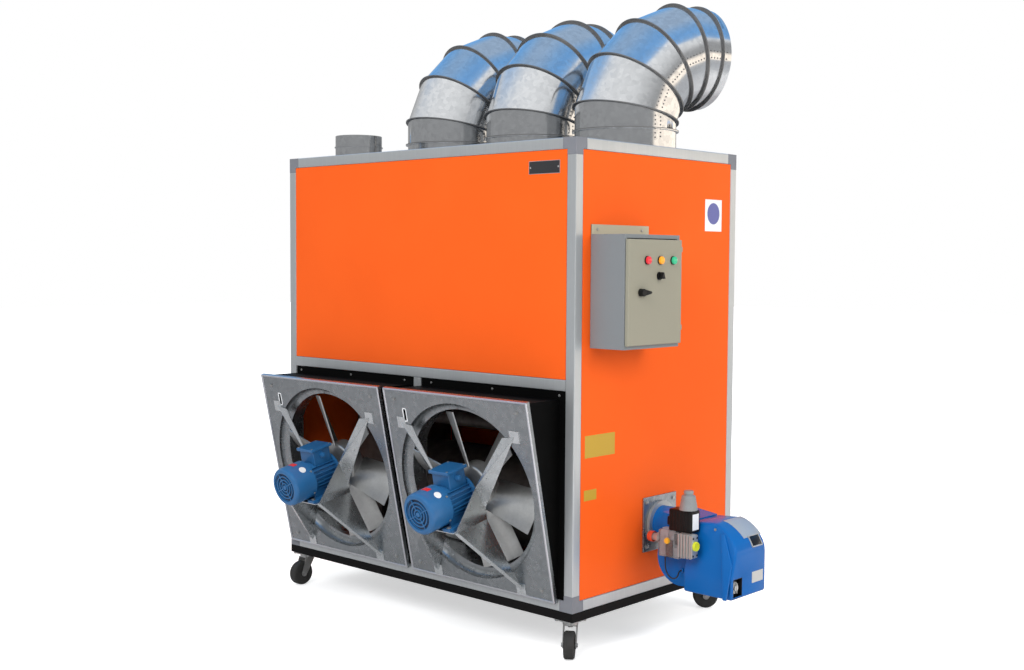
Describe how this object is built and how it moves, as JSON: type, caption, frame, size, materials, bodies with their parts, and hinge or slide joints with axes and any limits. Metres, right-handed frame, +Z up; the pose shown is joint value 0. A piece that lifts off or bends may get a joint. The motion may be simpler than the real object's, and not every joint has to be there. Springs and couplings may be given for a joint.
{
  "type": "hot air furnace",
  "caption": "Wheeled warm air furnace: orange cabinet in an aluminium frame, tilted intake fans, gas burner, control enclosure, roof flue and segmented duct elbows.",
  "frame": {"origin": "middle of the overall box on the floor", "axes": "+X towards the burner side, +Y towards the rear and the duct outlets, +Z up"},
  "size_m": [2.0206, 1.4354, 2.449],
  "materials": {
    "base_black": "satin powder coat",
    "profile_aluminium": "satin anodised",
    "corner_grey": "matt moulded",
    "panel_orange": "satin powder coat",
    "sheet_galvanised": "galvanised",
    "duct_galvanised": "bright galvanised",
    "zinc_plated": "zinc plated",
    "tyre_grey": "matt",
    "cowl_black": "satin",
    "motor_blue": "gloss enamel",
    "rotor_steel": "machined",
    "impeller_aluminium": "cast",
    "heat_steel": "mill finish",
    "enclosure_grey": "textured powder coat",
    "gasket_rubber": "matt",
    "lamp_plastic": "clear lenses",
    "black_plastic": "moulded",
    "gear_plastic": "moulded",
    "burner_blue": "gloss powder coat",
    "burner_cast": "die cast",
    "burner_motor_black": "satin",
    "switch_plastic": "moulded",
    "cap_plastic": "soft moulded",
    "label_white": "blank film"
  },
  "bodies": {
    "cabinet": {"base_frame": "base_black", "frame_profiles": "profile_aluminium", "corner_pieces": "corner_grey", "front_panel": "panel_orange", "right_panel": "panel_orange", "left_panel": "panel_orange", "rear_panel": "panel_orange", "roof_panel": "sheet_galvanised", "floor_panel": "sheet_galvanised", "fan_plates": "sheet_galvanised", "motor_brackets": "sheet_galvanised", "burner_plate": "sheet_galvanised", "duct_spigots": "duct_galvanised", "elbow_left": "duct_galvanised", "elbow_middle": "duct_galvanised", "elbow_right": "duct_galvanised", "outlet_collars": "duct_galvanised", "flue_stub": "duct_galvanised", "caster_plates": "zinc_plated", "hinge_pins": "zinc_plated", "screws": "zinc_plated", "fan_cowls": "cowl_black", "motor_housings": "motor_blue", "terminal_boxes": "motor_blue", "motor_fan_covers": "motor_blue", "combustion_chamber": "heat_steel", "smoke_boxes": "heat_steel", "exchanger_tubes": "heat_steel", "enclosure_body": "enclosure_grey", "sensing_lead": "gasket_rubber", "solenoid_coil": "black_plastic", "cover_fittings": "black_plastic", "control_gear": "gear_plastic", "burner_housing": "burner_blue", "burner_cover": "burner_blue", "burner_head": "burner_cast", "gas_valve": "burner_cast", "gas_regulator": "burner_cast", "burner_motor": "burner_motor_black", "pressure_switch": "switch_plastic", "gas_caps": "cap_plastic", "label_plates": "label_white"},
    "caster_front_left_fork": {"caster_fork_front_left": "zinc_plated"},
    "caster_front_left_wheel": {"caster_wheel_front_left": "tyre_grey"},
    "caster_front_right_fork": {"caster_fork_front_right": "zinc_plated"},
    "caster_front_right_wheel": {"caster_wheel_front_right": "tyre_grey"},
    "caster_rear_left_fork": {"caster_fork_rear_left": "zinc_plated"},
    "caster_rear_left_wheel": {"caster_wheel_rear_left": "tyre_grey"},
    "caster_rear_right_fork": {"caster_fork_rear_right": "zinc_plated"},
    "caster_rear_right_wheel": {"caster_wheel_rear_right": "tyre_grey"},
    "fan_left": {"impeller_left": "impeller_aluminium", "motor_rotor_left": "rotor_steel"},
    "fan_right": {"impeller_right": "impeller_aluminium", "motor_rotor_right": "rotor_steel"},
    "door": {"enclosure_door": "enclosure_grey", "door_gasket": "gasket_rubber", "door_lamps": "lamp_plastic"},
    "lock": {"door_lock": "black_plastic"},
    "selector": {"selector_switch": "black_plastic"},
    "burner_fan": {"burner_wheel": "rotor_steel"}
  },
  "joints": [
    {"name": "caster_front_left_swivel", "type": "hinge", "parent": "cabinet", "child": "caster_front_left_fork", "pos_m": [-0.9623, -0.32117, 0.069], "axis": [0, 0, 1], "continuous": true},
    {"name": "caster_front_left_roll", "type": "hinge", "parent": "caster_front_left_fork", "child": "caster_front_left_wheel", "pos_m": [-0.9623, -0.35317, 0.05], "axis": [-1, 0, 0], "continuous": true},
    {"name": "caster_front_right_swivel", "type": "hinge", "parent": "cabinet", "child": "caster_front_right_fork", "pos_m": [0.5417, -0.32117, 0.069], "axis": [0, 0, 1], "continuous": true},
    {"name": "caster_front_right_roll", "type": "hinge", "parent": "caster_front_right_fork", "child": "caster_front_right_wheel", "pos_m": [0.56005, -0.34738, 0.05], "axis": [-0.8192, -0.5736, 0], "continuous": true},
    {"name": "caster_rear_left_swivel", "type": "hinge", "parent": "cabinet", "child": "caster_rear_left_fork", "pos_m": [-0.9623, 0.58283, 0.069], "axis": [0, 0, 1], "continuous": true},
    {"name": "caster_rear_left_roll", "type": "hinge", "parent": "caster_rear_left_fork", "child": "caster_rear_left_wheel", "pos_m": [-0.96786, 0.55132, 0.05], "axis": [-0.9848, 0.1736, 0], "continuous": true},
    {"name": "caster_rear_right_swivel", "type": "hinge", "parent": "cabinet", "child": "caster_rear_right_fork", "pos_m": [0.5417, 0.58283, 0.069], "axis": [0, 0, 1], "continuous": true},
    {"name": "caster_rear_right_roll", "type": "hinge", "parent": "caster_rear_right_fork", "child": "caster_rear_right_wheel", "pos_m": [0.5183, 0.56101, 0.05], "axis": [-0.682, 0.7314, 0], "continuous": true},
    {"name": "fan_left_spin", "type": "hinge", "parent": "cabinet", "child": "fan_left", "pos_m": [-0.6153, -0.46289, 0.56109], "axis": [0, -0.9774, -0.2113], "continuous": true},
    {"name": "fan_right_spin", "type": "hinge", "parent": "cabinet", "child": "fan_right", "pos_m": [0.1527, -0.46289, 0.56109], "axis": [0, -0.9774, -0.2113], "continuous": true},
    {"name": "door_hinge", "type": "hinge", "parent": "cabinet", "child": "door", "pos_m": [0.7347, 0.04183, 1.304], "axis": [0, 0, 1], "range_deg": [0, 115]},
    {"name": "lock_turn", "type": "hinge", "parent": "door", "child": "lock", "pos_m": [0.7547, -0.21317, 1.302], "axis": [1, 0, 0], "range_deg": [0, 90]},
    {"name": "selector_turn", "type": "hinge", "parent": "door", "child": "selector", "pos_m": [0.7547, -0.10617, 1.359], "axis": [1, 0, 0], "range_deg": [-45, 45]},
    {"name": "burner_fan_spin", "type": "hinge", "parent": "cabinet", "child": "burner_fan", "pos_m": [0.7597, 0.03583, 0.328], "axis": [0, 1, 0], "continuous": true}
  ]
}
